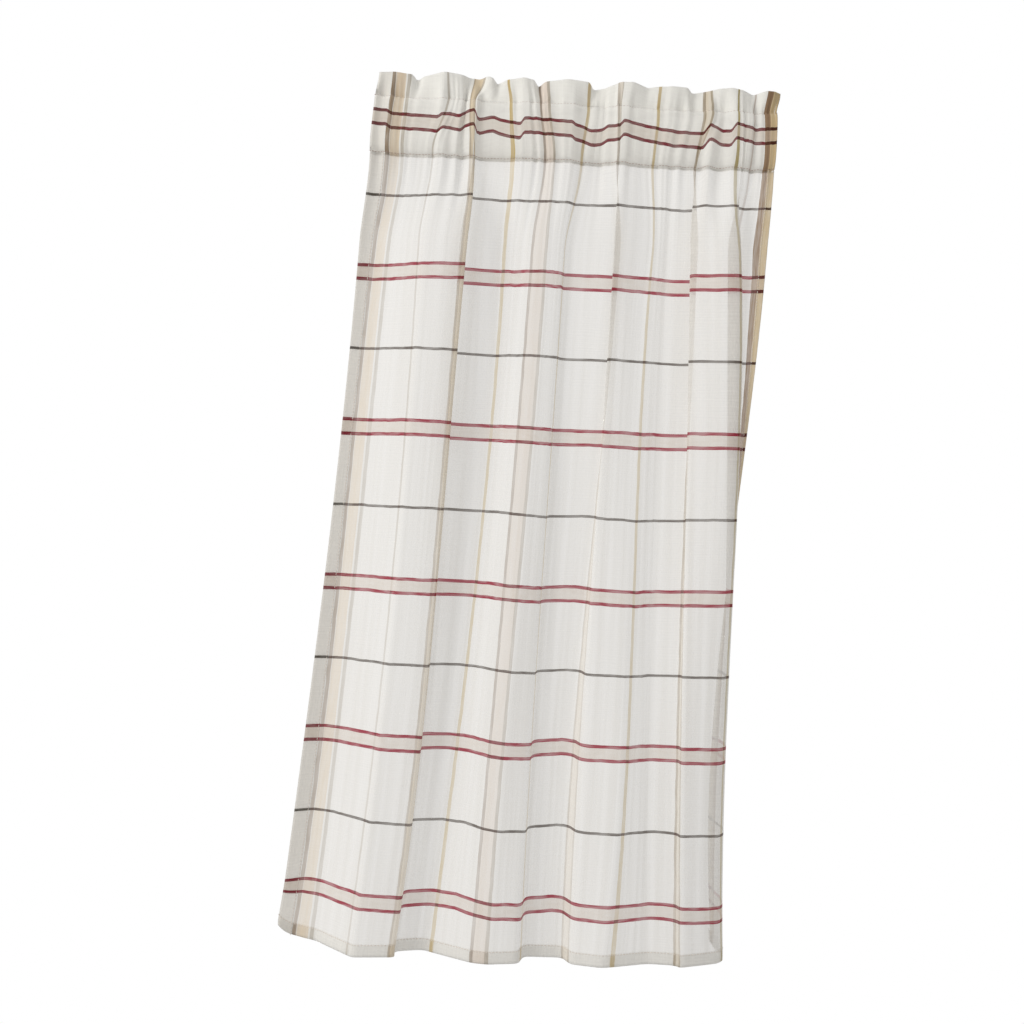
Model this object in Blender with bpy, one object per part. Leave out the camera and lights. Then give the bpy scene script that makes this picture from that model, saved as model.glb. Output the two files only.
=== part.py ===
"""Cafe curtain: a panel of striped gauze, gathered under a rod pocket with a standing frill.

The origin is on the axis of the rod pocket, halfway along it. +Z is up, +X runs along the pocket,
and the front of the curtain faces -Y. Sizes are in millimetres until a point is made.
"""
import math
from collections import namedtuple

import bmesh
import bpy
import numpy as np

MM = 0.001

# Cloth
CLOTH_WIDTH = 645.0
CLOTH_THICKNESS = 1.2
HEM_THICKNESS = 1.8
SIDE_HEM = 17.0
BOTTOM_HEM = 12.0

# Heights from the axis of the rod pocket
UPPER_SEAM = 21.0
LOWER_SEAM = -37.0
BOTTOM_EDGE = -862.0
CORNER_LIFT = 14.0
CORNER_REACH = 12.0
CORNER_CURL_START = -790.0

# The gap between the two solids at the lower seam
GAP = 0.3

# Heading
HEADING_HALF_WIDTH = 210.0
HEADING_COLUMNS = 80
POCKET_LEVELS = 6
FRILL_LEVELS = 3
ROD_CLEARANCE = 8.2
FRONT_SWELL = 0.6
BACK_SWELL = 0.4
SEAM_WALL = 0.95
CHANNEL_HEIGHT_SHARE = 0.94
PLEAT_SOFTNESS = 5
FRILL_SOFTNESS = 3

# Panel
PANEL_COLUMNS = 106
HANGING_HEIGHTS = (-52, -70, -92, -120, -160, -215, -290, -380, -480, -580, -680, -780)
HEM_STEP = 2.0
FOLDS_FORM_BY = -130.0
ROD_TO_CLOTH = 10.0
FOLD_SOFTNESS_TOP = 6
FOLD_SOFTNESS_BOTTOM = 11

# Small pleats along the stitched heading: place across, and how far each stands forward
Pleat = namedtuple("Pleat", "across forward")
PLEATS = (
    Pleat(-210, 6), Pleat(-178, -1), Pleat(-150, 0), Pleat(-139, 6), Pleat(-115, -3),
    Pleat(-106, 7), Pleat(-98, -4), Pleat(-79, -3), Pleat(-55, 5), Pleat(-38, 1),
    Pleat(-4, 6), Pleat(14, -4), Pleat(26, -4), Pleat(48, 7), Pleat(72, -3),
    Pleat(100, -2), Pleat(130, -4), Pleat(138, 6), Pleat(151, -3), Pleat(163, 7),
    Pleat(187, -4), Pleat(210, 6),
)

# Rounded lobes and the notches between them along the frill's edge: place across, how far each
# point stands forward, and its height
Lobe = namedtuple("Lobe", "across forward height")
LOBES = (
    Lobe(-210, 5, 44), Lobe(-188, 8, 45), Lobe(-172, 5, 44), Lobe(-166, -3, 41), Lobe(-158, 3, 43),
    Lobe(-138, 9, 47), Lobe(-119, 4, 46), Lobe(-111, -5, 46), Lobe(-101, -6, 46), Lobe(-92, 4, 46),
    Lobe(-84, -3, 41), Lobe(-74, 4, 43), Lobe(-56, 8, 45), Lobe(-47, 5, 44), Lobe(-41, -3, 40),
    Lobe(-33, 4, 43), Lobe(-10, 9, 45), Lobe(9, 5, 44), Lobe(17, -4, 40), Lobe(28, 0, 41),
    Lobe(45, 8, 45), Lobe(58, 9, 45), Lobe(73, 1, 42), Lobe(84, 4, 43), Lobe(98, 7, 43),
    Lobe(112, 5, 43), Lobe(120, -3, 41), Lobe(131, -1, 41), Lobe(146, 5, 43), Lobe(160, 8, 44),
    Lobe(172, 4, 43), Lobe(183, -3, 41), Lobe(195, 6, 43), Lobe(210, 2, 43),
)

# Creases of the hanging cloth. "cloth" is the distance from the left edge along the flat cloth,
# "seam" the place across at the lower seam, then the place across and the distance forward at
# each of the four heights
FOLD_HEIGHTS = (-80.0, -240.0, -560.0, -857.0)
Crease = namedtuple("Crease", "name cloth seam across forward")
CREASES = (
    Crease("left_edge", 0, -209, (-218, -225, -247, -274), (14, 10, 10, 4)),
    Crease("left_valley", 22, -196, (-199, -212, -232, -256), (0, 0, -5, -11)),
    Crease("first_ridge_start", 105, -140, (-149, -153, -167, -190), (25, 33, 40, 46)),
    Crease("first_ridge_end", 153, -103, (-102, -110, -124, -147), (33, 36, 39, 40)),
    Crease("first_step_foot", 174, -101, (-116, -120, -128, -149), (8, 9, 16, 22)),
    Crease("second_valley", 195, -76, (-79, -79, -95, -120), (2, 5, 11, 13)),
    Crease("second_ridge_start", 259, -29, (-36, -41, -54, -67), (13, 21, 37, 48)),
    Crease("second_ridge_end", 312, 2, (-6, -10, -17, -21), (8, 15, 29, 42)),
    Crease("third_valley_start", 331, 12, (-3, -6, -14, -16), (0, 4, 13, 20)),
    Crease("third_valley_end", 372, 43, (56, 49, 30, 24), (0, 4, 12, 18)),
    Crease("third_ridge_start", 392, 47, (44, 42, 35, 32), (12, 17, 28, 37)),
    Crease("third_ridge_end", 430, 76, (86, 76, 75, 63), (-4, 6, 27, 44)),
    Crease("fourth_valley_start", 478, 104, (104, 103, 105, 112), (-9, -1, 14, 25)),
    Crease("fourth_valley_end", 502, 124, (139, 137, 136, 143), (-5, 1, 16, 27)),
    Crease("fourth_ridge_start", 511, 128, (119, 124, 131, 142), (20, 24, 31, 34)),
    Crease("fourth_ridge_end", 548, 160, (163, 174, 177, 187), (36, 33, 22, 14)),
    Crease("turned_edge", 560, 169, (171, 182, 186, 194), (34, 29, 10, 2)),
    Crease("hidden_fold", 585, 177, (160, 166, 184, 192), (12, 17, -12, -20)),
    Crease("right_band", 615, 195, (190, 186, 184, 190), (15, 23, -27, -38)),
    Crease("right_edge", 645, 208, (204, 195, 182, 190), (18, 27, -42, -60)),
)


def smoothstep(value):
    """Rise from 0 to 1 with level ends."""
    value = np.clip(value, 0.0, 1.0)
    return value * value * (3.0 - 2.0 * value)


def soften(values, reach):
    """Round the corners of an evenly sampled line by averaging it over reach samples each way."""
    steps = np.arange(1, reach + 1)
    before = values[0] - (values[1] - values[0]) * steps[::-1]
    after = values[-1] + (values[-1] - values[-2]) * steps
    weights = np.hanning(2 * reach + 3)[1:-1]
    padded = np.concatenate([before, values, after])
    return np.convolve(padded, weights / weights.sum(), mode="valid")


ALONG_HEADING = np.arange(-HEADING_HALF_WIDTH, HEADING_HALF_WIDTH + 1.0)


def along_heading(table, column, reach):
    """One column of a heading table at each millimetre across, with its corners rounded."""
    places = [row.across for row in table]
    values = [getattr(row, column) for row in table]
    return soften(np.interp(ALONG_HEADING, places, values), reach)


SEAM_FORWARD = along_heading(PLEATS, "forward", PLEAT_SOFTNESS)
FRILL_FORWARD = along_heading(LOBES, "forward", FRILL_SOFTNESS)
FRILL_HEIGHT = along_heading(LOBES, "height", FRILL_SOFTNESS)


def at_height(values, height):
    """The smooth cubic curve through a crease's values at the four fold heights."""
    total = 0.0
    for i, value in enumerate(values):
        share = 1.0
        for j, other in enumerate(FOLD_HEIGHTS):
            if j != i:
                share *= (height - other) / (FOLD_HEIGHTS[i] - other)
        total += value * share
    return total


def fold_section(height):
    """The cloth's level section at a height, as places across and forward for each mm of cloth."""
    cloth = np.arange(0.0, CLOTH_WIDTH + 1.0)
    crease_cloth = [c.cloth for c in CREASES]
    hang = max(height, FOLD_HEIGHTS[-1])
    across = np.interp(cloth, crease_cloth, [at_height(c.across, hang) for c in CREASES])
    forward = np.interp(cloth, crease_cloth, [at_height(c.forward, hang) for c in CREASES])
    drop_share = (height - LOWER_SEAM) / (BOTTOM_EDGE - LOWER_SEAM)
    softness = FOLD_SOFTNESS_TOP + (FOLD_SOFTNESS_BOTTOM - FOLD_SOFTNESS_TOP) * drop_share
    across = soften(across, round(softness))
    forward = soften(forward, round(softness)) - ROD_TO_CLOTH
    seam_across = soften(np.interp(cloth, crease_cloth, [c.seam for c in CREASES]), PLEAT_SOFTNESS)
    seam_forward = np.interp(seam_across, ALONG_HEADING, SEAM_FORWARD)
    formed = smoothstep((height - LOWER_SEAM) / (FOLDS_FORM_BY - LOWER_SEAM))
    across = seam_across + (across - seam_across) * formed
    forward = seam_forward + (forward - seam_forward) * formed
    return cloth, across, forward


def corner_lift(cloth, height):
    """How far the curled lower left corner is lifted."""
    curl = smoothstep((height - CORNER_CURL_START) / (BOTTOM_EDGE - CORNER_CURL_START))
    return CORNER_LIFT * math.exp(-cloth / CORNER_REACH) * curl


def gauze_material(name, colour):
    """A matt off-white cotton gauze."""
    material = bpy.data.materials.new(name)
    material.use_nodes = True
    shader = material.node_tree.nodes["Principled BSDF"]
    shader.inputs["Base Color"].default_value = (*colour, 1.0)
    shader.inputs["Roughness"].default_value = 0.9
    shader.inputs["Metallic"].default_value = 0.0
    material.diffuse_color = (*colour, 1.0)
    return material


def add_object(name, shape, material):
    """Put a finished bmesh into the scene as a named object."""
    mesh = bpy.data.meshes.new(name)
    shape.to_mesh(mesh)
    shape.free()
    mesh.materials.append(material)
    mesh.shade_smooth()
    thing = bpy.data.objects.new(name, mesh)
    bpy.context.collection.objects.link(thing)
    return thing


def heading_profile(across):
    """Front, back, inner front and inner back points (y, z) of the heading at a place across."""
    forward = float(np.interp(across, ALONG_HEADING, SEAM_FORWARD))
    lowest = min(p.forward for p in PLEATS)
    highest = max(p.forward for p in PLEATS)
    seam_y = -forward
    front_y = -(ROD_CLEARANCE + FRONT_SWELL * (forward - lowest))
    back_y = ROD_CLEARANCE + BACK_SWELL * (highest - forward)
    middle = (UPPER_SEAM + LOWER_SEAM) / 2
    half = (UPPER_SEAM - LOWER_SEAM) / 2
    front, back, inner_front, inner_back = [], [], [], []
    for level in range(POCKET_LEVELS + 1):
        rise = -math.cos(math.pi * level / POCKET_LEVELS)
        swell = math.sqrt(1.0 - abs(rise) ** 3)
        at_seam = level in (0, POCKET_LEVELS)
        skin = CLOTH_THICKNESS if at_seam else CLOTH_THICKNESS / 2
        wall = SEAM_WALL if at_seam else CLOTH_THICKNESS
        outer_front = seam_y + (front_y - seam_y) * swell - skin
        outer_back = seam_y + (back_y - seam_y) * swell + skin
        height = middle + half * rise
        inner_height = middle + half * rise * CHANNEL_HEIGHT_SHARE
        front.append((outer_front, height))
        back.append((outer_back, height))
        inner_front.append((outer_front + wall, inner_height))
        inner_back.append((outer_back - wall, inner_height))
    edge_y = -float(np.interp(across, ALONG_HEADING, FRILL_FORWARD))
    edge_height = float(np.interp(across, ALONG_HEADING, FRILL_HEIGHT))
    for level in range(1, FRILL_LEVELS + 1):
        share = level / FRILL_LEVELS
        height = UPPER_SEAM + (edge_height - UPPER_SEAM) * share
        centre = seam_y + (edge_y - seam_y) * share
        front.append((centre - CLOTH_THICKNESS, height))
        back.append((centre + CLOTH_THICKNESS, height))
    return front, back, inner_front, inner_back


def build_heading(material):
    """The turned-over top of the cloth: a frill above a pocket, open from end to end."""
    shape = bmesh.new()
    columns = []
    for column in range(HEADING_COLUMNS + 1):
        across = HEADING_HALF_WIDTH * (2.0 * column / HEADING_COLUMNS - 1.0)
        rows = []
        for line in heading_profile(across):
            rows.append([shape.verts.new((across * MM, y * MM, z * MM)) for y, z in line])
        columns.append(rows)

    for left, right in zip(columns, columns[1:]):
        front, back, inner_front, inner_back = range(4)
        outer_levels = range(len(left[front]) - 1)
        for i in outer_levels:
            shape.faces.new((left[front][i], right[front][i], right[front][i + 1], left[front][i + 1]))
            shape.faces.new((right[back][i], left[back][i], left[back][i + 1], right[back][i + 1]))
        for i in range(POCKET_LEVELS):
            shape.faces.new((right[inner_front][i], left[inner_front][i],
                             left[inner_front][i + 1], right[inner_front][i + 1]))
            shape.faces.new((left[inner_back][i], right[inner_back][i],
                             right[inner_back][i + 1], left[inner_back][i + 1]))
        shape.faces.new((left[back][0], right[back][0], right[front][0], left[front][0]))
        shape.faces.new((left[front][-1], right[front][-1], right[back][-1], left[back][-1]))
        shape.faces.new((left[inner_front][0], right[inner_front][0],
                         right[inner_back][0], left[inner_back][0]))
        shape.faces.new((left[inner_back][-1], right[inner_back][-1],
                         right[inner_front][-1], left[inner_front][-1]))

    for front, back, inner_front, inner_back in (columns[0], columns[-1]):
        for i in range(POCKET_LEVELS):
            shape.faces.new((front[i], front[i + 1], inner_front[i + 1], inner_front[i]))
            shape.faces.new((inner_back[i], inner_back[i + 1], back[i + 1], back[i]))
        shape.faces.new((front[0], inner_front[0], inner_back[0], back[0]))
        shape.faces.new((inner_front[-1], front[POCKET_LEVELS], back[POCKET_LEVELS], inner_back[-1]))
        for i in range(POCKET_LEVELS, len(front) - 1):
            shape.faces.new((front[i], front[i + 1], back[i + 1], back[i]))
    bmesh.ops.recalc_face_normals(shape, faces=shape.faces)
    return add_object("heading", shape, material)


def build_panel(material):
    """The hanging cloth with its side hems and bottom hem, a sheet that is thickened both ways."""
    shape = bmesh.new()
    hem_layer = shape.verts.layers.deform.verify()
    columns = [CLOTH_WIDTH * i / PANEL_COLUMNS for i in range(PANEL_COLUMNS + 1)]
    hem_line = BOTTOM_EDGE + BOTTOM_HEM
    heights = (LOWER_SEAM - GAP, *HANGING_HEIGHTS, hem_line + HEM_STEP / 2, hem_line - HEM_STEP / 2,
               BOTTOM_EDGE)
    rows = []
    for height in heights:
        cloth, across, forward = fold_section(height)
        row = []
        for place in columns:
            x = float(np.interp(place, cloth, across))
            y = -float(np.interp(place, cloth, forward))
            z = height + corner_lift(place, height)
            vertex = shape.verts.new((x * MM, y * MM, z * MM))
            in_side_hem = place < SIDE_HEM or place > CLOTH_WIDTH - SIDE_HEM
            in_bottom_hem = height < hem_line
            vertex[hem_layer][0] = 1.0 if in_side_hem or in_bottom_hem else 0.0
            row.append(vertex)
        rows.append(row)
    for upper, lower in zip(rows, rows[1:]):
        for i in range(PANEL_COLUMNS):
            shape.faces.new((upper[i], lower[i], lower[i + 1], upper[i + 1]))
    panel = add_object("panel", shape, material)
    panel.vertex_groups.new(name="doubled_hem")
    thickness = panel.modifiers.new("cloth thickness", "SOLIDIFY")
    thickness.thickness = HEM_THICKNESS * MM
    thickness.offset = 0.0
    thickness.vertex_group = "doubled_hem"
    thickness.thickness_vertex_group = CLOTH_THICKNESS / HEM_THICKNESS
    return panel


for old in list(bpy.data.objects):
    bpy.data.objects.remove(old)

build_heading(gauze_material("heading_gauze", (0.72, 0.69, 0.64)))
build_panel(gauze_material("panel_gauze", (0.78, 0.76, 0.72)))
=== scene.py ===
"""Cafe curtain: striped slub gauze gathered on a stitched rod pocket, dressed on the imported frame."""
import math
from collections import namedtuple

import bpy
import numpy as np
from mathutils import Matrix, Vector


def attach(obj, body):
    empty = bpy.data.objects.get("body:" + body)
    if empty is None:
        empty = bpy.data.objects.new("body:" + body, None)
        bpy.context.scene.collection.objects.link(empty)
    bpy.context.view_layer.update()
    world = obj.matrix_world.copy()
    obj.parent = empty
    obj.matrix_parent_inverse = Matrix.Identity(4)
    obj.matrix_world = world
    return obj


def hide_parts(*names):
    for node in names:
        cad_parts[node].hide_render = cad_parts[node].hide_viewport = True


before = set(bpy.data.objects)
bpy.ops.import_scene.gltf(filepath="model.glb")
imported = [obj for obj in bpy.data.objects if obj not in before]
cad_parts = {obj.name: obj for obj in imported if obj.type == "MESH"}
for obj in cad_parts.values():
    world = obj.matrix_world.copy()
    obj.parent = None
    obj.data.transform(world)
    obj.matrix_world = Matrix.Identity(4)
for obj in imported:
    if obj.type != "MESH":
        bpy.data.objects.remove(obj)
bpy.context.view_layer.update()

# Viewpoint and light. The curtain is seen square on from level with its middle, about 1.35 m away,
# with the head of the picture tipped a little, in soft daylight that comes from the left and
# through the cloth.
VIEW_DISTANCE = 1.352
VIEW_SIDE = -0.0483
VIEW_HEIGHT = -0.4041
VIEW_TIP = math.radians(2.6)
SENSOR_WIDTH = 36.0
FRAME_PIXELS = 1024
FOCAL_PIXELS = 1300
CLOTH_MIDDLE = (0, 0, -0.4)
STUDIO_LIGHT = 0.64

# Places and sizes of the lights are in metres, and their powers in watts
SoftLight = namedtuple("SoftLight", "name place size power colour")
SOFT_LIGHTS = (
    SoftLight("window light", (-2.1, -1.35, 0.45), 1.3, 38, "#FFFEFC"),
    SoftLight("back light", (0.9, 1.9, 0.6), 1.6, 17, "#FDFDFF"),
)


def linear_colour(hex_colour):
    """An sRGB hex colour as linear red, green, blue and alpha."""
    parts = [int(hex_colour[i:i + 2], 16) / 255 for i in (1, 3, 5)]
    return [p / 12.92 if p <= 0.04045 else ((p + 0.055) / 1.055) ** 2.4 for p in parts] + [1.0]


def add_node(tree, kind, settings=None, **links):
    """Add a node, set its properties, and set or link its inputs (a socket links, a value sets)."""
    node = tree.nodes.new(kind)
    for name, value in (settings or {}).items():
        setattr(node, name, value)
    for key, value in links.items():
        slot = int(key[1:]) if key[0] == "i" and key[1:].isdigit() else key.replace("_", " ")
        if isinstance(value, bpy.types.NodeSocket):
            tree.links.new(value, node.inputs[slot])
        else:
            node.inputs[slot].default_value = value
    return node


camera = bpy.data.objects.new("camera", bpy.data.cameras.new("camera"))
bpy.context.collection.objects.link(camera)
camera.data.sensor_width = SENSOR_WIDTH
camera.data.lens = SENSOR_WIDTH * FOCAL_PIXELS / FRAME_PIXELS
camera.data.clip_start = 0.01
camera.matrix_world = (Matrix.Translation((VIEW_SIDE, -VIEW_DISTANCE, VIEW_HEIGHT))
                       @ Matrix.Rotation(math.pi / 2, 4, "X") @ Matrix.Rotation(VIEW_TIP, 4, "Z"))
bpy.context.scene.camera = camera
bpy.context.scene.view_settings.view_transform = "Standard"


def add_soft_light(given):
    """A large square soft light, turned towards the middle of the cloth."""
    light = bpy.data.lights.new(given.name, "AREA")
    light.size = given.size
    light.energy = given.power
    light.color = linear_colour(given.colour)[:3]
    holder = bpy.data.objects.new(given.name, light)
    bpy.context.collection.objects.link(holder)
    holder.location = given.place
    aim = Vector(CLOTH_MIDDLE) - Vector(given.place)
    holder.rotation_euler = aim.to_track_quat("-Z", "Y").to_euler()


for soft_light in SOFT_LIGHTS:
    add_soft_light(soft_light)

world = bpy.data.worlds.new("pale studio")
bpy.context.scene.world = world
world.use_nodes = True
world.node_tree.nodes.clear()
seen = add_node(world.node_tree, "ShaderNodeBackground", Color=linear_colour("#FFFFFF"), Strength=1.0)
lighting = add_node(world.node_tree, "ShaderNodeBackground", Color=linear_colour("#FEFDFC"),
                    Strength=STUDIO_LIGHT)
rays = add_node(world.node_tree, "ShaderNodeLightPath")
either = add_node(world.node_tree, "ShaderNodeMixShader", Fac=rays.outputs["Is Camera Ray"],
                  i1=lighting.outputs[0], i2=seen.outputs[0])
add_node(world.node_tree, "ShaderNodeOutputWorld", Surface=either.outputs[0])

# The floor: a flat sheet under matt white paint, which throws soft light up without a shine. It
# lies far below the curtain and fades out towards its rim. Its sizes are in metres.
FLOOR_HEIGHT = -1.6
FLOOR_RADIUS = 1.5
FADE_START = 0.5

floor_mesh = bpy.data.meshes.new("pale floor")
floor_corners = [(FLOOR_RADIUS * x, FLOOR_RADIUS * y, FLOOR_HEIGHT)
                 for x, y in ((-1, -1), (1, -1), (1, 1), (-1, 1))]
floor_mesh.from_pydata(floor_corners, [], [(0, 1, 2, 3)])
floor = bpy.data.objects.new("pale_floor", floor_mesh)
bpy.context.collection.objects.link(floor)
floor_paint = bpy.data.materials.new("matt white studio paint")
floor_paint.use_nodes = True
paint_tree = floor_paint.node_tree
paint_tree.nodes.clear()
paint_place = add_node(paint_tree, "ShaderNodeTexCoord")
paint_reach = add_node(paint_tree, "ShaderNodeVectorMath", {"operation": "LENGTH"},
                       i0=paint_place.outputs["Object"])
paint_fade = add_node(paint_tree, "ShaderNodeMapRange", {"interpolation_type": "SMOOTHSTEP"},
                      Value=paint_reach.outputs["Value"], From_Min=FADE_START, From_Max=FLOOR_RADIUS)
paint = add_node(paint_tree, "ShaderNodeBsdfDiffuse", Color=linear_colour("#F7F6F4"))
clear = add_node(paint_tree, "ShaderNodeBsdfTransparent")
paint_mix = add_node(paint_tree, "ShaderNodeMixShader", Fac=paint_fade.outputs["Result"],
                     i1=paint.outputs[0], i2=clear.outputs[0])
add_node(paint_tree, "ShaderNodeOutputMaterial", Surface=paint_mix.outputs[0])
floor_mesh.materials.append(floor_paint)

# The cloth: one length of thin plain-woven gauze, hemmed down both sides and along the bottom. Its
# top is turned to the back and sewn down in two rows, which makes the rod pocket and the frill
# that stands above it. It hangs gathered, so it is one sheet here from hem to turned-over top.

# Heights and places are in millimetres, and the flat cloth is measured from its left edge
MM = 0.001
CLOTH_WIDTH = 645.0
SIDE_HEM = 17.0
BOTTOM_HEM = 12.5
FRILL_TOP = 44.0
UPPER_SEAM = 21.0
LOWER_SEAM = -37.0
TOP_ALLOWANCE_EDGE = -40.0
BOTTOM_EDGE = -862.0
LAYER_GAP = 0.9
CORNER_LIFT = 14.0
CORNER_REACH = 12.0
CORNER_CURL_START = -790.0
ROD_CLEARANCE = 8.2
FRONT_SWELL = 0.6
BACK_SWELL = 0.4
FOLDS_FORM_BY = -130.0
ROD_TO_CLOTH = 10.0

# How many millimetres each way a line is averaged over to round its corners
SOFTNESS_TOP = 5
SOFTNESS_BOTTOM = 10
PLEAT_SOFTNESS = 4
FRILL_SOFTNESS = 2
DROP_SOFTNESS = 1

# Pleats along the seams: place across, how far each stands forward, and how far the weft hangs
# below level there
Pleat = namedtuple("Pleat", "across forward drop")
PLEATS = (
    Pleat(-212, 6, 7), Pleat(-196, 3, 7), Pleat(-192, 2, 10), Pleat(-178, -1, 10), Pleat(-150, 0, 11),
    Pleat(-143, 3, 12), Pleat(-139, 6, 8), Pleat(-129, 1, 8), Pleat(-120, 4, 10), Pleat(-116, -3, 5),
    Pleat(-105, 7, 3), Pleat(-102, 2, 12), Pleat(-99, -4, 11), Pleat(-86, -3, 8), Pleat(-79, -3, 11),
    Pleat(-62, -1, 14), Pleat(-57, 5, 15), Pleat(-54, 4, 9), Pleat(-38, 2, 9), Pleat(-4, 6, 11),
    Pleat(-1, 4, 14), Pleat(8, -3, 15), Pleat(16, -4, 18), Pleat(26, -4, 17), Pleat(33, -2, 13),
    Pleat(45, 7, 12), Pleat(49, 6, 7), Pleat(72, -2, 11), Pleat(100, -2, 15), Pleat(132, -4, 16),
    Pleat(138, 6, 7), Pleat(151, -3, 12), Pleat(160, 4, 13), Pleat(165, 7, 5), Pleat(187, -3, 9),
    Pleat(212, 5, 8),
)

# Rounded lobes and the notches between them along the frill's edge: place across, how far each
# point stands forward, and its height
Lobe = namedtuple("Lobe", "across forward height")
LOBES = (
    Lobe(-212, 3, 44), Lobe(-204, 6, 45), Lobe(-188, 8, 45), Lobe(-171, 5, 44), Lobe(-167, -4, 40),
    Lobe(-160, 3, 43), Lobe(-138, 10, 47), Lobe(-120, 5, 46), Lobe(-112, -5, 46), Lobe(-102, -8, 46),
    Lobe(-93, 5, 46), Lobe(-87, 4, 44), Lobe(-84, -4, 40), Lobe(-74, 4, 43), Lobe(-56, 9, 45),
    Lobe(-45, 5, 44), Lobe(-41, -4, 39), Lobe(-34, 4, 43), Lobe(-10, 10, 45), Lobe(12, 6, 44),
    Lobe(17, -5, 39), Lobe(28, 0, 40), Lobe(45, 9, 45), Lobe(58, 10, 45), Lobe(73, 1, 42),
    Lobe(82, 4, 43), Lobe(98, 8, 43), Lobe(114, 6, 43), Lobe(119, -4, 40), Lobe(131, -1, 41),
    Lobe(146, 6, 43), Lobe(160, 9, 44), Lobe(172, 5, 43), Lobe(183, -4, 41), Lobe(195, 7, 43),
    Lobe(204, 6, 43), Lobe(212, -2, 43),
)

# Marks along the cloth, at creases and stripes: their place on the flat cloth, then across at the
# frill's edge, the upper seam and the lower seam, then across and forward at four lower heights
MARK_HEIGHTS = (-80.0, -240.0, -560.0, -857.0)
Mark = namedtuple("Mark", "cloth frill upper lower across forward")
MARKS = (
    Mark(0, -206, -209, -212, (-218, -225, -247, -274), (9, 6, 5, -2)),
    Mark(22, -188, -189, -192, (-198, -210, -229, -255), (2, 2, -2, -7)),
    Mark(46, -171, -173, -176, (-183, -192, -211, -234), (7, 9, 6, 0)),
    Mark(93, -134, -132, -147, (-156, -158, -171, -195), (20, 29, 35, 41)),
    Mark(105, -128, -126, -140, (-149, -153, -167, -190), (25, 33, 40, 46)),
    Mark(153, -104, -108, -103, (-102, -110, -124, -147), (33, 36, 39, 40)),
    Mark(174, -84, -100, -106, (-116, -120, -128, -149), (8, 9, 16, 22)),
    Mark(195, -77, -76, -76, (-79, -79, -95, -120), (2, 5, 11, 13)),
    Mark(207, -72, -68, -63, (-67, -70, -87, -111), (4, 8, 15, 20)),
    Mark(257, -39, -37, -30, (-38, -43, -56, -69), (13, 21, 36, 46)),
    Mark(275, -31, -29, -21, (-24, -27, -42, -53), (13, 21, 38, 49)),
    Mark(312, 6, 6, 2, (-6, -10, -17, -21), (8, 15, 29, 42)),
    Mark(322, 13, 13, 8, (-5, -8, -16, -19), (4, 10, 22, 32)),
    Mark(331, 18, 18, 12, (-3, -6, -14, -16), (0, 4, 13, 20)),
    Mark(372, 42, 42, 44, (56, 49, 30, 24), (0, 4, 12, 18)),
    Mark(392, 49, 47, 46, (44, 42, 35, 32), (12, 17, 28, 37)),
    Mark(430, 79, 78, 76, (86, 76, 75, 63), (-4, 6, 27, 44)),
    Mark(442, 86, 85, 82, (90, 83, 82, 75), (-5, 5, 24, 40)),
    Mark(478, 113, 112, 104, (104, 103, 105, 112), (-9, -1, 14, 25)),
    Mark(502, 134, 134, 128, (139, 137, 136, 143), (-5, 1, 16, 27)),
    Mark(509, 140, 142, 126, (118, 123, 131, 142), (20, 24, 31, 34)),
    Mark(548, 163, 163, 160, (163, 174, 177, 187), (36, 33, 22, 14)),
    Mark(560, 169, 170, 172, (171, 182, 186, 194), (34, 29, 10, 2)),
    Mark(585, 180, 179, 176, (160, 166, 184, 192), (12, 17, -12, -20)),
    Mark(615, 197, 195, 196, (190, 186, 184, 190), (15, 23, -27, -38)),
    Mark(645, 211, 207, 207, (204, 195, 182, 190), (18, 27, -42, -60)),
)

# How far the weft hangs below level in the folds, at six heights: the ridges sag and the valleys
# are drawn up
SLACK_HEIGHTS = (-80.0, -240.0, -400.0, -485.0, -640.0, -812.0)
Slack = namedtuple("Slack", "cloth below")
SLACKS = (
    Slack(0, (3, -0.5, 0, -0.5, -4.5, -2.5)), Slack(22, (2.8, -0.5, 0, -0.6, -4.3, -5.2)),
    Slack(105, (2, -0.3, 0.3, -0.8, -4.2, -5)), Slack(153, (1, 0.5, 0.5, -0.8, -3.5, -2.3)),
    Slack(195, (2, 1, 0.8, 0.2, -4, -4.5)), Slack(230, (3, 1.5, 1, 0.4, -4, -7)),
    Slack(275, (2.5, 1.2, 3, 2, -1, -2.3)), Slack(320, (2.8, 1, 4, 3.2, 0.5, -0.8)),
    Slack(360, (2.2, 1.5, 1.2, 1, -3.6, -5)), Slack(400, (3, 0.8, 3, 2.5, -1, -2.4)),
    Slack(442, (2, 1, 4, 3.6, -1.2, -2.4)), Slack(490, (3, 1.3, 2.2, 1.6, -2.3, -3.6)),
    Slack(515, (1, 0.3, 0.5, -0.3, -2.3, -1.5)), Slack(556, (1, -0.5, -1.5, -1.8, -1, 1.5)),
    Slack(645, (0, -0.5, -2, -2, -1, 0)),
)


def smoothstep(value):
    """Rise from 0 to 1 with level ends."""
    value = np.clip(value, 0.0, 1.0)
    return value * value * (3.0 - 2.0 * value)


def soften(values, reach):
    """Round the corners of an evenly sampled line by averaging it over reach samples each way."""
    steps = np.arange(1, reach + 1)
    before = values[0] - (values[1] - values[0]) * steps[::-1]
    after = values[-1] + (values[-1] - values[-2]) * steps
    weights = np.hanning(2 * reach + 3)[1:-1]
    padded = np.concatenate([before, values, after])
    return np.convolve(padded, weights / weights.sum(), mode="valid")


HEADING_REACH = 230.0
cloth_mm = np.arange(0.0, CLOTH_WIDTH + 1.0)
heading_mm = np.arange(-HEADING_REACH, HEADING_REACH + 1.0)
mark_cloth = [m.cloth for m in MARKS]


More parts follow.
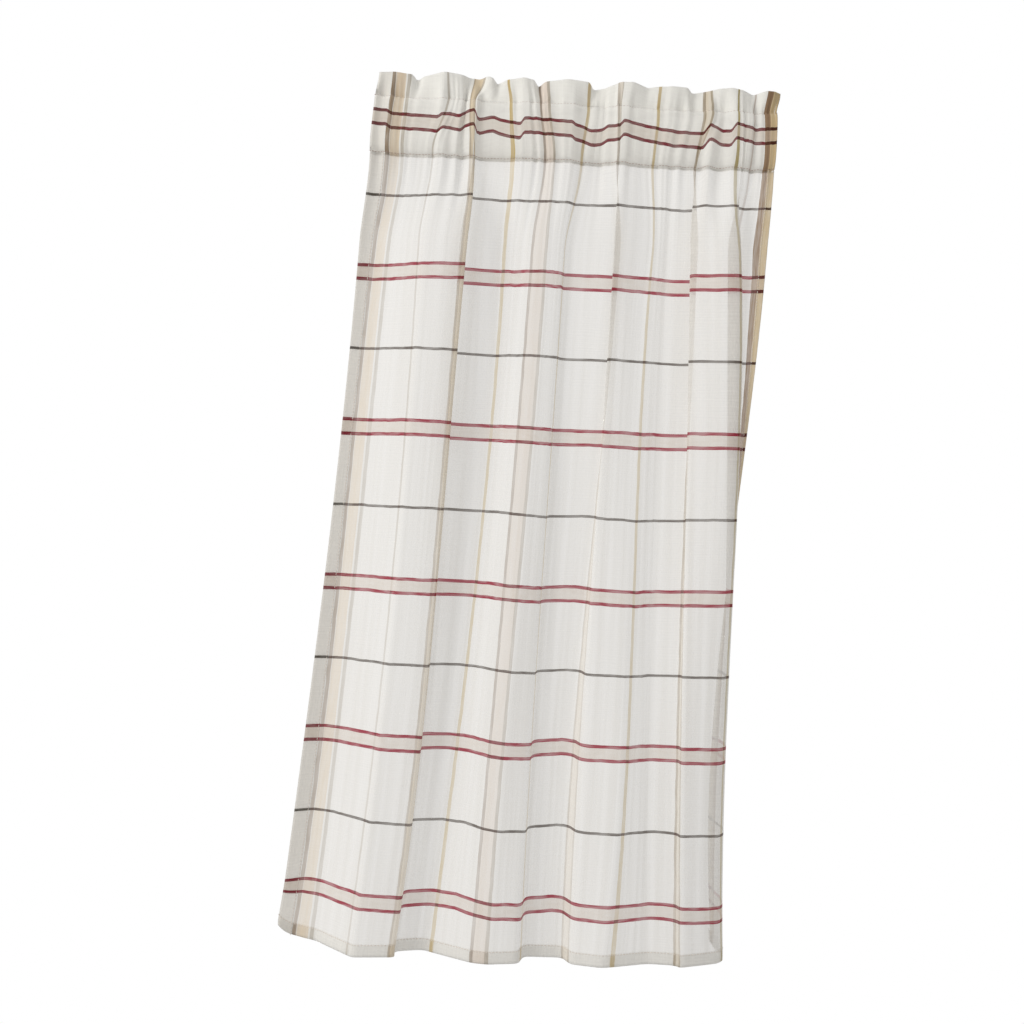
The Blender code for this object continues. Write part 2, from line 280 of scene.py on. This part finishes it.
def along_heading(table, column, reach):
    """One column of a heading table at each millimetre across, with its corners rounded."""
    values = [getattr(row, column) for row in table]
    return soften(np.interp(heading_mm, [row.across for row in table], values), reach)


seam_forward_line = along_heading(PLEATS, "forward", PLEAT_SOFTNESS)
drop_line = along_heading(PLEATS, "drop", DROP_SOFTNESS)
frill_forward_line = along_heading(LOBES, "forward", FRILL_SOFTNESS)
frill_height_line = along_heading(LOBES, "height", FRILL_SOFTNESS)


def along_cloth(values, reach):
    """A quantity given at the marks, for each millimetre of cloth, with its corners rounded."""
    return soften(np.interp(cloth_mm, mark_cloth, values), reach)


frill_across = along_cloth([m.frill for m in MARKS], PLEAT_SOFTNESS)
upper_across = along_cloth([m.upper for m in MARKS], PLEAT_SOFTNESS)
lower_across = along_cloth([m.lower for m in MARKS], PLEAT_SOFTNESS)


# Narrow gathers that the seams draw up: the sum of uneven waves along the cloth, each with its
# length, depth and start. They swell and shrink along the seam, flatten over the rod and in the
# frill, and fade out below the heading.
Gather = namedtuple("Gather", "length depth start")
GATHERS = (
    Gather(13.7, 1.1, 0.4), Gather(21.0, 1.3, 2.1), Gather(31.5, 1.0, 4.0), Gather(9.1, 0.6, 1.3),
)
SWELLING = Gather(118.0, 0.35, 0.9)
POCKET_SMOOTHING = 0.45
FRILL_SMOOTHING = 0.85
GATHERS_FADE = 42.0


def along_wave(wave):
    """One wave of the gathers, for each millimetre of cloth."""
    return wave.depth * np.sin(2 * math.pi * cloth_mm / wave.length + wave.start)


def small_gathers():
    """Narrow uneven gathers that the seams draw up, as forward distances along the cloth."""
    total = sum(along_wave(wave) for wave in GATHERS)
    return total * (1.0 - SWELLING.depth + along_wave(SWELLING))


gathers = small_gathers()


def at_height(values, height):
    """The smooth cubic curve through a mark's values at the four lower heights."""
    total = 0.0
    for i, value in enumerate(values):
        share = 1.0
        for j, other in enumerate(MARK_HEIGHTS):
            if j != i:
                share *= (height - other) / (MARK_HEIGHTS[i] - other)
        total += value * share
    return total


def hanging_line(height):
    """Places across and forward of the cloth below the heading, for each millimetre of cloth."""
    hang = max(height, MARK_HEIGHTS[-1])
    share = (height - LOWER_SEAM) / (BOTTOM_EDGE - LOWER_SEAM)
    softness = round(SOFTNESS_TOP + (SOFTNESS_BOTTOM - SOFTNESS_TOP) * share)
    across = along_cloth([at_height(m.across, hang) for m in MARKS], softness)
    forward = along_cloth([at_height(m.forward, hang) for m in MARKS], softness) - ROD_TO_CLOTH
    formed = smoothstep((height - LOWER_SEAM) / (FOLDS_FORM_BY - LOWER_SEAM))
    seam_forward = np.interp(lower_across, heading_mm, seam_forward_line)
    fade = math.exp((height - LOWER_SEAM) / GATHERS_FADE)
    across = lower_across + (across - lower_across) * formed
    forward = seam_forward + (forward - seam_forward) * formed + gathers * fade
    return across, forward


def pocket_line(height, layer):
    """Places across and forward of one layer of the rod pocket, front or back."""
    rise = (height - LOWER_SEAM) / (UPPER_SEAM - LOWER_SEAM)
    across = lower_across + (upper_across - lower_across) * smoothstep(rise)
    swell = math.sqrt(max(0.0, 1.0 - abs(2.0 * rise - 1.0) ** 3))
    seam = np.interp(across, heading_mm, seam_forward_line)
    if layer == "front":
        swollen = ROD_CLEARANCE + FRONT_SWELL * (seam - min(pleat.forward for pleat in PLEATS))
    else:
        swollen = -ROD_CLEARANCE - BACK_SWELL * (max(pleat.forward for pleat in PLEATS) - seam)
    return across, seam + (swollen - seam) * swell + gathers * (1.0 - POCKET_SMOOTHING * swell)


def frill_line(share):
    """Places across and forward of the frill, and its height, at a share of the way to its edge."""
    across = upper_across + (frill_across - upper_across) * smoothstep(share)
    seam = np.interp(across, heading_mm, seam_forward_line)
    edge = np.interp(across, heading_mm, frill_forward_line)
    forward = seam + (edge - seam) * share + gathers * (1.0 - FRILL_SMOOTHING * share)
    rise = (np.interp(across, heading_mm, frill_height_line) - UPPER_SEAM) * share
    return across, forward, UPPER_SEAM + rise


def weft_drop(height, across):
    """How far the weft hangs below level at a height, for each millimetre of cloth."""
    by_row = [np.interp(height, SLACK_HEIGHTS[::-1], row.below[::-1]) for row in SLACKS]
    hanging = np.interp(cloth_mm, [row.cloth for row in SLACKS], by_row)
    heading = np.interp(across, heading_mm, drop_line)
    return hanging + (heading - hanging) * smoothstep((height - SLACK_HEIGHTS[0])
                                                      / (LOWER_SEAM - SLACK_HEIGHTS[0]))


# The grid of the sheet: how many rows each stretch has from hem to frill, how many columns lie
# between the side edges, and how far in from each edge the turned-under rows and columns lie
HEM_LINE = BOTTOM_EDGE + BOTTOM_HEM
BOTTOM_HEM_ROWS = 5
HANGING_ROWS = 167
FINER_FROM = -150.0
FINER_PITCH = 3.0
FINER_ROWS = 37
POCKET_ROWS = 27
FRILL_ROWS = 10
BODY_COLUMNS = 259
BOTTOM_HEM_STEPS = (0.8, 3.0, 6.0, 9.0, BOTTOM_HEM)
SIDE_HEM_STEPS = (0.8, 3.0, 7.0, 12.0, SIDE_HEM)
TOP_ALLOWANCE_STEPS = (0.8, 2.4, 4.0)

# A row's height, its layer, its place along the flat cloth, and how far it is turned under
Row = namedtuple("Row", "height layer length turned")


def cloth_rows():
    """The rows of the sheet from its turned-up bottom edge to its turned-under top edge."""
    rows = []
    for step in BOTTOM_HEM_STEPS[::-1]:
        rows.append(Row(BOTTOM_EDGE + step, "front", BOTTOM_EDGE - step, min(1.0, step)))
    hanging = np.concatenate([np.linspace(BOTTOM_EDGE, HEM_LINE - 0.5, BOTTOM_HEM_ROWS),
                              np.linspace(HEM_LINE + 0.5, FINER_FROM, HANGING_ROWS),
                              np.linspace(FINER_FROM + FINER_PITCH, LOWER_SEAM - 2.0, FINER_ROWS)])
    for height in hanging:
        rows.append(Row(height, "front", height, 0.0))
    middle = (UPPER_SEAM + LOWER_SEAM) / 2
    half = (UPPER_SEAM - LOWER_SEAM) / 2
    turns = np.linspace(-math.pi / 2, math.pi / 2, POCKET_ROWS)
    pocket = [middle + half * math.sin(turn) for turn in turns]
    frill = list(np.linspace(UPPER_SEAM, FRILL_TOP, FRILL_ROWS + 1))[1:]
    for height in pocket + frill:
        rows.append(Row(height, "front", height, 0.0))
    for height in frill[::-1] + pocket[::-1] + [TOP_ALLOWANCE_EDGE]:
        rows.append(Row(height, "back", 2 * FRILL_TOP + LAYER_GAP - height, 0.0))
    for step in TOP_ALLOWANCE_STEPS:
        reach = TOP_ALLOWANCE_EDGE + step
        rows.append(Row(reach, "back", 2 * FRILL_TOP + LAYER_GAP - TOP_ALLOWANCE_EDGE + step, 1.0))
    return rows


def in_heading(row):
    """Whether a row lies in the heading, where the cloth is in two layers."""
    return row.layer == "back" or row.height >= LOWER_SEAM


def corner_lift(places, height):
    """How far the curled lower left corner is lifted."""
    curl = smoothstep((height - CORNER_CURL_START) / (BOTTOM_EDGE - CORNER_CURL_START))
    return CORNER_LIFT * np.exp(-places / CORNER_REACH) * curl


def cloth_columns():
    """Places on the flat cloth, with the turned-under side hems outside its two edges."""
    hem = np.array(SIDE_HEM_STEPS)
    body = np.linspace(0.0, CLOTH_WIDTH, BODY_COLUMNS)
    return np.concatenate([-hem[::-1], body, CLOTH_WIDTH + hem])


# How thick each place counts as for the look of the weave, from 0 for one layer to 1 for two
# gathered layers, and how far the turned-under edges lie behind the face, in gaps between layers
HEM_DOUBLED = 0.4
TUCKED_SHARE = 0.3
HEM_TURN_DEPTH = 2.0
TOP_TURN_DEPTH = 0.5


def build_cloth():
    """The sheet of the whole curtain, with its flat places in the map flat_cloth, in metres, and
    how thick each place counts as in the attribute doubled.
    """
    rows = cloth_rows()
    columns = cloth_columns()
    face_place = np.where(columns < 0, -columns, columns)
    face_place = np.where(columns > CLOTH_WIDTH, 2 * CLOTH_WIDTH - columns, face_place)
    side_turn = np.clip(np.maximum(-columns, columns - CLOTH_WIDTH), 0.0, 1.0)
    points = np.zeros((len(rows), len(columns), 3))
    lengths = np.zeros((len(rows), len(columns)))
    doubled = np.zeros((len(rows), len(columns)))
    in_side_hem = (face_place < SIDE_HEM) | (face_place > CLOTH_WIDTH - SIDE_HEM)
    for index, row in enumerate(rows):
        height = row.height
        if height > UPPER_SEAM:
            across, forward, height = frill_line((height - UPPER_SEAM) / (FRILL_TOP - UPPER_SEAM))
            height = np.interp(face_place, cloth_mm, height)
        elif in_heading(row):
            across, forward = pocket_line(max(height, LOWER_SEAM), row.layer)
        else:
            across, forward = hanging_line(height)
        skin = 0.0
        if row.layer == "back":
            skin = -LAYER_GAP / 2 if row.height > LOWER_SEAM else -LAYER_GAP
        elif row.height >= LOWER_SEAM:
            skin = LAYER_GAP / 2
        points[index, :, 0] = np.interp(face_place, cloth_mm, across)
        points[index, :, 1] = -np.interp(face_place, cloth_mm, forward + skin)
        points[index, :, 2] = height + corner_lift(face_place, row.height)
        lengths[index] = row.length + np.interp(face_place, cloth_mm, weft_drop(row.height, across))
        across_row = 1.0 if in_heading(row) else HEM_DOUBLED * (row.height < HEM_LINE)
        doubled[index] = np.where(in_side_hem, max(across_row, HEM_DOUBLED), across_row)
    along = np.gradient(points[:, :, :2], axis=1)
    along *= np.where(side_turn > 0, -1.0, 1.0)[None, :, None]
    outward = np.stack([along[:, :, 1], -along[:, :, 0]], axis=2)
    outward /= np.maximum(np.linalg.norm(outward, axis=2, keepdims=True), 1e-6)
    behind = np.array([-1.0 if row.layer == "front" else 1.0 for row in rows])
    turn_depth = {"front": HEM_TURN_DEPTH, "back": TOP_TURN_DEPTH}
    row_turn = np.array([row.turned * turn_depth[row.layer] for row in rows])
    tuck = np.where([in_heading(row) for row in rows], TUCKED_SHARE, 1.0)
    depth = LAYER_GAP * (tuck[:, None] * side_turn[None, :] + row_turn[:, None]) * behind[:, None]
    points[:, :, :2] += outward * depth[:, :, None]

    count = len(columns)
    faces = []
    for i in range(len(rows) - 1):
        for j in range(count - 1):
            low = i * count + j
            faces.append((low, low + 1, low + 1 + count, low + count))
    mesh = bpy.data.meshes.new("cloth")
    mesh.from_pydata((points.reshape(-1, 3) * MM).tolist(), [], faces)
    flat = mesh.uv_layers.new(name="flat_cloth")
    for loop in mesh.loops:
        i, j = divmod(loop.vertex_index, count)
        flat.data[loop.index].uv = (columns[j] * MM, lengths[i, j] * MM)
    layers = mesh.attributes.new("doubled", "FLOAT", "POINT")
    layers.data.foreach_set("value", doubled.ravel())
    mesh.shade_smooth()
    sheet = bpy.data.objects.new("gauze_cloth", mesh)
    bpy.context.collection.objects.link(sheet)
    return sheet, points, rows, columns


cloth, cloth_points, rows, columns = build_cloth()

# The weave: plain cotton-like yarn with slubs, dyed before weaving. Warp stripes run down the cloth
# and weft lines run across it, each in thicker dyed yarn. The plain yarn is thinner than a picture
# point, so its slubs are drawn about three times coarser than they are.

# Places and widths are in millimetres on the flat cloth, and cover is the share of the plain
# ground that the dyed yarn hides
Yarns = namedtuple("Yarns", "centre width colour cover")
WARP_STRIPES = (
    Yarns(8, 16, "#E4DACE", 0.12), Yarns(20, 4.6, "#957B5A", 0.52), Yarns(30, 14, "#DCBF8C", 0.29),
    Yarns(42, 5.0, "#B5AC9C", 0.40), Yarns(93, 3.0, "#C3BBAE", 0.45), Yarns(154, 12, "#D6B568", 0.27),
    Yarns(147, 2.6, "#A68F68", 0.42), Yarns(161, 2.4, "#A68F68", 0.36), Yarns(207, 4.8, "#D2BC84", 0.54),
    Yarns(266, 14, "#E6D6C6", 0.34), Yarns(257, 4.0, "#AC9C8C", 0.54), Yarns(275, 4.4, "#B6AA98", 0.48),
    Yarns(322, 4.8, "#D3BE8C", 0.48), Yarns(380, 12, "#E4D9C8", 0.32), Yarns(374, 2.8, "#BDB2A2", 0.42),
    Yarns(387, 2.8, "#BDB2A0", 0.42), Yarns(442, 4.8, "#CFBA86", 0.52), Yarns(505, 7, "#DDD0B8", 0.38),
    Yarns(501, 3.0, "#B0A189", 0.55), Yarns(509, 2.8, "#B4A68E", 0.50), Yarns(556, 3.6, "#B7A877", 0.60),
    Yarns(596, 3.0, "#B9A79B", 0.36), Yarns(637, 17, "#D3BF98", 0.64), Yarns(622, 13, "#9C8268", 0.85),
)
WEFT_REPEAT = 163.0
WEFT_LINES = (
    Yarns(90.0, 12, "#D5C6B6", 0.42), Yarns(82.7, 3.5, "#A32A40", 0.88),
    Yarns(97.3, 3.5, "#A32A40", 0.88), Yarns(8.5, 2.8, "#54463B", 0.80),
)
WEFT_START = -85.5
PLAIN_YARN = "#EBE9E5"
# Painted light: where the cloth lies in two layers, the same yarn is painted lighter than the plain
# yarn, which brightens the heading and the hems
PAINTED_LIGHT_DOUBLED_YARN = "#F6F5F1"
# Painted shade: weft lines in the doubled heading are darkened by this tint, standing in for the light
# from behind that the second layer holds back
DOUBLED_LINE_PAINTED_SHADE = "#CBDBD2"
CROSSED_LINE = "#5A382B"

# Yarn streaks: whether they run along the warp, their spacing and run in millimetres, and detail
Streaks = namedtuple("Streaks", "along_warp spacing run detail")
WARP_SLUBS = Streaks(True, 1.9, 70.0, 2.0)
WEFT_SLUBS = Streaks(False, 1.7, 38.0, 2.0)
WARP_DRIFT = Streaks(True, 7.0, 400.0, 2.0)
WARP_UNEVENNESS = Streaks(True, 3.0, 22.0, 1.0)
WEFT_UNEVENNESS = Streaks(False, 3.0, 16.0, 1.0)
YARN_SWAY = 1.6
SWAYS_PER_MM = 0.045
SLUB_HEIGHT = 0.4 * MM

# How closely the yarns fill the cloth, where it is one layer and where it is two, how much of
# the light that meets a yarn passes through it, and how much stronger stripes look when doubled
PLAIN_COVER = (0.72, 0.83)
DRIFT_OF_COVER = 0.07
DOUBLED_COVER = 0.93
DYED_COVER = 0.97
PASSING_LIGHT = (0.42, 0.28)
STRIPE_STRENGTH = (1.0, 1.6)
YARN_TONES = (0.97, 1.02)
DYE_TONES = (0.85, 1.1)
LINE_COVER = 0.55
NOISE_MIDDLE = (0.3, 0.7)
SLUB_MIDDLE = (0.6, 1.4)
WHOLE = (0.0, 1.0)


def add_yarns(tree, place, table, ground, wobble):
    """Lay the stripes of a table over a ground colour, and add up how much they cover."""
    colour = ground
    cover = None
    for stripe in table:
        inside = add_node(tree, "ShaderNodeMath", {"operation": "COMPARE"}, i0=place,
                          i1=stripe.centre, i2=stripe.width / 2)
        amount = add_node(tree, "ShaderNodeMath", {"operation": "MULTIPLY"},
                          i0=inside.outputs[0], i1=stripe.cover)
        uneven = add_node(tree, "ShaderNodeMath", {"operation": "MULTIPLY", "use_clamp": True},
                          i0=amount.outputs[0], i1=wobble)
        laid = add_node(tree, "ShaderNodeMix", {"data_type": "RGBA"}, i0=uneven.outputs[0],
                        i6=colour, i7=linear_colour(stripe.colour))
        colour = laid.outputs[2]
        if cover is None:
            cover = uneven.outputs[0]
        else:
            cover = add_node(tree, "ShaderNodeMath", {"operation": "MAXIMUM"}, i0=cover,
                             i1=uneven.outputs[0]).outputs[0]
    return colour, cover


def slub_gauze(name):
    """Plain-woven slub gauze, semi-sheer and matt: light passes between and through its yarns."""
    material = bpy.data.materials.new(name)
    material.use_nodes = True
    tree = material.node_tree
    tree.nodes.clear()
    flat = add_node(tree, "ShaderNodeUVMap", {"uv_map": "flat_cloth"})
    places = add_node(tree, "ShaderNodeVectorMath", {"operation": "SCALE"}, i0=flat.outputs[0],
                      Scale=1 / MM)
    sway = add_node(tree, "ShaderNodeTexNoise", {"noise_dimensions": "2D"}, Scale=SWAYS_PER_MM,
                    Detail=2.0, Vector=places.outputs[0])
    sway_step = add_node(tree, "ShaderNodeVectorMath", {"operation": "MULTIPLY_ADD"},
                         i0=sway.outputs["Color"], i1=(YARN_SWAY, YARN_SWAY, 0.0),
                         i2=places.outputs[0])
    axes = add_node(tree, "ShaderNodeSeparateXYZ", Vector=sway_step.outputs[0])
    warp_place = axes.outputs["X"]
    weft_shift = add_node(tree, "ShaderNodeMath", {"operation": "SUBTRACT"}, i0=axes.outputs["Y"],
                          i1=WEFT_START)
    weft_place = add_node(tree, "ShaderNodeMath", {"operation": "WRAP"}, i0=weft_shift.outputs[0],
                          i1=WEFT_REPEAT, i2=0.0)

    def noise_along(streaks):
        """Noise that is drawn out along the warp or the weft."""
        across, along = 1 / streaks.spacing, 1 / streaks.run
        size = (across, along, 1.0) if streaks.along_warp else (along, across, 1.0)
        drawn = add_node(tree, "ShaderNodeVectorMath", {"operation": "MULTIPLY"},
                         i0=places.outputs[0], i1=size)
        noise = add_node(tree, "ShaderNodeTexNoise", {"noise_dimensions": "2D"}, Scale=1.0,
                         Detail=streaks.detail, Vector=drawn.outputs[0])
        return noise.outputs["Fac"]

    def spread(value, part, limits):
        """Spread a part of a value's range between two limits."""
        return add_node(tree, "ShaderNodeMapRange", Value=value, From_Min=part[0], From_Max=part[1],
                        To_Min=limits[0], To_Max=limits[1]).outputs[0]

    doubled = add_node(tree, "ShaderNodeAttribute", {"attribute_name": "doubled"}).outputs["Fac"]
    warp_strength = add_node(tree, "ShaderNodeMath", {"operation": "MULTIPLY"},
                             i0=spread(noise_along(WARP_UNEVENNESS), NOISE_MIDDLE, DYE_TONES),
                             i1=spread(doubled, WHOLE, STRIPE_STRENGTH))
    weft_strength = spread(noise_along(WEFT_UNEVENNESS), NOISE_MIDDLE, DYE_TONES)
    slub = add_node(tree, "ShaderNodeMath", {"operation": "ADD"}, i0=noise_along(WARP_SLUBS),
                    i1=noise_along(WEFT_SLUBS))
    tone = spread(slub.outputs[0], SLUB_MIDDLE, YARN_TONES)
    # Painted light: the ground yarn is painted lighter where the cloth is doubled
    plain = add_node(tree, "ShaderNodeMix", {"data_type": "RGBA"}, i0=doubled,
                     i6=linear_colour(PLAIN_YARN), i7=linear_colour(PAINTED_LIGHT_DOUBLED_YARN))
    ground = add_node(tree, "ShaderNodeMix", {"data_type": "RGBA", "blend_type": "MULTIPLY"}, i0=1.0,
                      i6=plain.outputs[2], i7=tone)
    warped, warp_cover = add_yarns(tree, warp_place, WARP_STRIPES, ground.outputs[2],
                                   warp_strength.outputs[0])
    woven, weft_cover = add_yarns(tree, weft_place.outputs[0], WEFT_LINES, warped, weft_strength)
    # Painted shade: on the doubled heading, the weft lines are multiplied by a pale grey-green tint that
    # stands in for the back light held back by the second layer
    on_line = add_node(tree, "ShaderNodeMath", {"operation": "GREATER_THAN"}, i0=weft_cover,
                       i1=LINE_COVER)
    painted_line_shade_mask = add_node(tree, "ShaderNodeMath", {"operation": "MULTIPLY"}, i0=on_line.outputs[0],
                        i1=doubled)
    line_painted_shade = add_node(tree, "ShaderNodeMix", {"data_type": "RGBA", "blend_type": "MULTIPLY"},
                        i0=painted_line_shade_mask.outputs[0], i6=woven, i7=linear_colour(DOUBLED_LINE_PAINTED_SHADE))
    over_stripe = add_node(tree, "ShaderNodeMath", {"operation": "MULTIPLY", "use_clamp": True},
                           i0=on_line.outputs[0], i1=warp_cover)
    crossed = add_node(tree, "ShaderNodeMix", {"data_type": "RGBA"}, i0=over_stripe.outputs[0],
                       i6=line_painted_shade.outputs[2], i7=linear_colour(CROSSED_LINE))
    dyed_cover = add_node(tree, "ShaderNodeMath", {"operation": "MAXIMUM"}, i0=warp_cover,
                          i1=weft_cover)
    plain_cover = spread(slub.outputs[0], SLUB_MIDDLE, PLAIN_COVER)
    drift = spread(noise_along(WARP_DRIFT), NOISE_MIDDLE, (-DRIFT_OF_COVER, DRIFT_OF_COVER))
    open_cover = add_node(tree, "ShaderNodeMath", {"operation": "ADD"}, i0=plain_cover, i1=drift)
    ground_cover = add_node(tree, "ShaderNodeMix", {"data_type": "FLOAT"}, i0=doubled,
                            i2=open_cover.outputs[0], i3=DOUBLED_COVER)
    cover = add_node(tree, "ShaderNodeMapRange", {"clamp": True}, Value=dyed_cover.outputs[0],
                     To_Min=ground_cover.outputs[0], To_Max=DYED_COVER)
    relief = add_node(tree, "ShaderNodeBump", Strength=0.35, Distance=SLUB_HEIGHT,
                      Height=slub.outputs[0])
    reflecting = add_node(tree, "ShaderNodeBsdfDiffuse", Color=crossed.outputs[2], Roughness=0.6,
                          Normal=relief.outputs[0])
    passing = add_node(tree, "ShaderNodeBsdfTranslucent", Color=crossed.outputs[2],
                       Normal=relief.outputs[0])
    yarn = add_node(tree, "ShaderNodeMixShader", Fac=spread(doubled, WHOLE, PASSING_LIGHT),
                    i1=reflecting.outputs[0], i2=passing.outputs[0])
    gaps = add_node(tree, "ShaderNodeBsdfTransparent")
    surface = add_node(tree, "ShaderNodeMixShader", Fac=cover.outputs[0], i1=gaps.outputs[0],
                       i2=yarn.outputs[0])
    add_node(tree, "ShaderNodeOutputMaterial", Surface=surface.outputs[0])
    return material


cloth.data.materials.append(slub_gauze("plain woven slub gauze"))
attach(cloth, "root")
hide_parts("heading", "panel")

# Stitching. Two rows of lockstitch hold the turned-over top, and one row runs along each hem, in
# matt polyester thread: rosy taupe at the heading, off-white at the hems. Each stitch is a short
# rounded bar.
STITCH_PITCH = 3.4 * MM
STITCH_LENGTH = 2.7 * MM
THREAD_RADIUS = 0.34 * MM
THREAD_LIFT = 0.35
STITCH_INSET = 1.5
TWISTS_PER_METRE = 900.0
FIBRE_HEIGHT = 0.1 * MM


def seam_path(place_of_row=None, place_of_column=None):
    """Points on the face of the cloth along one row or one column of its grid."""
    if place_of_row is not None:
        line = cloth_points[place_of_row, (columns >= 0) & (columns <= CLOTH_WIDTH)]
    else:
        low = next(i for i, row in enumerate(rows) if row.turned == 0.0)
        high = next(i for i, row in enumerate(rows) if row.height == LOWER_SEAM)
        line = cloth_points[low:high, place_of_column]
    lifted = line.copy()
    lifted[:, 1] -= THREAD_LIFT
    return lifted


def nearest_row(height, layer):
    """The row of the sheet nearest to a height on the front or back layer."""
    options = [i for i, row in enumerate(rows) if row.layer == layer and row.turned == 0.0]
    return min(options, key=lambda i: abs(rows[i].height - height))


def stitch_tree(material):
    """Geometry nodes that lay stitches at an even pitch along every edge path they are given."""
    tree = bpy.data.node_groups.new("lockstitch rows", "GeometryNodeTree")
    sockets = {}
    tree.interface.new_socket("Geometry", in_out="INPUT", socket_type="NodeSocketGeometry")
    for name, value in (("Pitch", STITCH_PITCH), ("Stitch length", STITCH_LENGTH),
                        ("Thread radius", THREAD_RADIUS)):
        socket = tree.interface.new_socket(name, in_out="INPUT", socket_type="NodeSocketFloat")
        sockets[name] = (socket.identifier, value)
    tree.interface.new_socket("Geometry", in_out="OUTPUT", socket_type="NodeSocketGeometry")
    given = tree.nodes.new("NodeGroupInput")
    paths = add_node(tree, "GeometryNodeMeshToCurve", Mesh=given.outputs["Geometry"])
    spots = add_node(tree, "GeometryNodeCurveToPoints", {"mode": "LENGTH"}, Curve=paths.outputs[0],
                     Length=given.outputs["Pitch"])
    turn = add_node(tree, "FunctionNodeAlignRotationToVector", {"axis": "Z"},
                    Vector=spots.outputs["Tangent"])
    half_length = add_node(tree, "ShaderNodeMath", {"operation": "MULTIPLY"},
                           i0=given.outputs["Stitch length"], i1=0.5)
    size = add_node(tree, "ShaderNodeCombineXYZ", X=given.outputs["Thread radius"],
                    Y=given.outputs["Thread radius"], Z=half_length.outputs[0])
    bead = add_node(tree, "GeometryNodeMeshUVSphere", Segments=6, Rings=4, Radius=1.0)
    sewn = add_node(tree, "GeometryNodeInstanceOnPoints", Points=spots.outputs["Points"],
                    Instance=bead.outputs["Mesh"], Rotation=turn.outputs[0], Scale=size.outputs[0])
    solid = add_node(tree, "GeometryNodeRealizeInstances", Geometry=sewn.outputs[0])
    smooth = add_node(tree, "GeometryNodeSetShadeSmooth", Geometry=solid.outputs[0])
    finished = add_node(tree, "GeometryNodeSetMaterial", Geometry=smooth.outputs[0], Material=material)
    add_node(tree, "NodeGroupOutput", Geometry=finished.outputs[0])
    return tree, sockets


def polyester_thread(name, dark, light):
    """Spun polyester sewing thread: matt, slightly fuzzy, in two close tones."""
    material = bpy.data.materials.new(name)
    material.use_nodes = True
    tree = material.node_tree
    tree.nodes.clear()
    place = add_node(tree, "ShaderNodeTexCoord")
    twist = add_node(tree, "ShaderNodeTexNoise", Scale=TWISTS_PER_METRE, Detail=1.0,
                     Vector=place.outputs["Object"])
    colour = add_node(tree, "ShaderNodeMix", {"data_type": "RGBA"}, i0=twist.outputs["Fac"],
                      i6=linear_colour(dark), i7=linear_colour(light))
    relief = add_node(tree, "ShaderNodeBump", Strength=0.3, Distance=FIBRE_HEIGHT,
                      Height=twist.outputs["Fac"])
    fibre = add_node(tree, "ShaderNodeBsdfPrincipled", Base_Color=colour.outputs[2], Roughness=0.75,
                     Normal=relief.outputs[0])
    add_node(tree, "ShaderNodeOutputMaterial", Surface=fibre.outputs[0])
    return material


def build_stitching(name, paths, thread):
    """Rows of stitches along paths on the cloth, as one plain mesh."""
    vertices, edges = [], []
    for path in paths:
        first = len(vertices)
        vertices += (path * MM).tolist()
        edges += [(first + i, first + i + 1) for i in range(len(path) - 1)]
    guide_mesh = bpy.data.meshes.new("seam paths")
    guide_mesh.from_pydata(vertices, edges, [])
    guide = bpy.data.objects.new("seam paths", guide_mesh)
    bpy.context.collection.objects.link(guide)
    tree, sockets = stitch_tree(thread)
    sewing = guide.modifiers.new("sewing", "NODES")
    sewing.node_group = tree
    for identifier, value in sockets.values():
        sewing[identifier] = value
    evaluated = guide.evaluated_get(bpy.context.evaluated_depsgraph_get())
    mesh = bpy.data.meshes.new_from_object(evaluated)
    bpy.data.objects.remove(guide)
    mesh.name = name
    stitches = bpy.data.objects.new(name, mesh)
    bpy.context.collection.objects.link(stitches)
    return stitches


heading_paths = [seam_path(place_of_row=nearest_row(height, "front"))
                 for height in (UPPER_SEAM, LOWER_SEAM)]
hem_paths = [seam_path(place_of_row=nearest_row(HEM_LINE - STITCH_INSET, "front"))]
for place in (SIDE_HEM - STITCH_INSET, CLOTH_WIDTH - SIDE_HEM + STITCH_INSET):
    hem_paths.append(seam_path(place_of_column=int(np.abs(columns - place).argmin())))
heading_stitches = build_stitching("heading_stitches", heading_paths,
                                   polyester_thread("rosy taupe sewing thread", "#A98F86", "#BBA59B"))
hem_stitches = build_stitching("hem_stitches", hem_paths,
                               polyester_thread("off-white sewing thread", "#CFC5BA", "#DDD4CA"))

for stitches in (heading_stitches, hem_stitches):
    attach(stitches, "root")
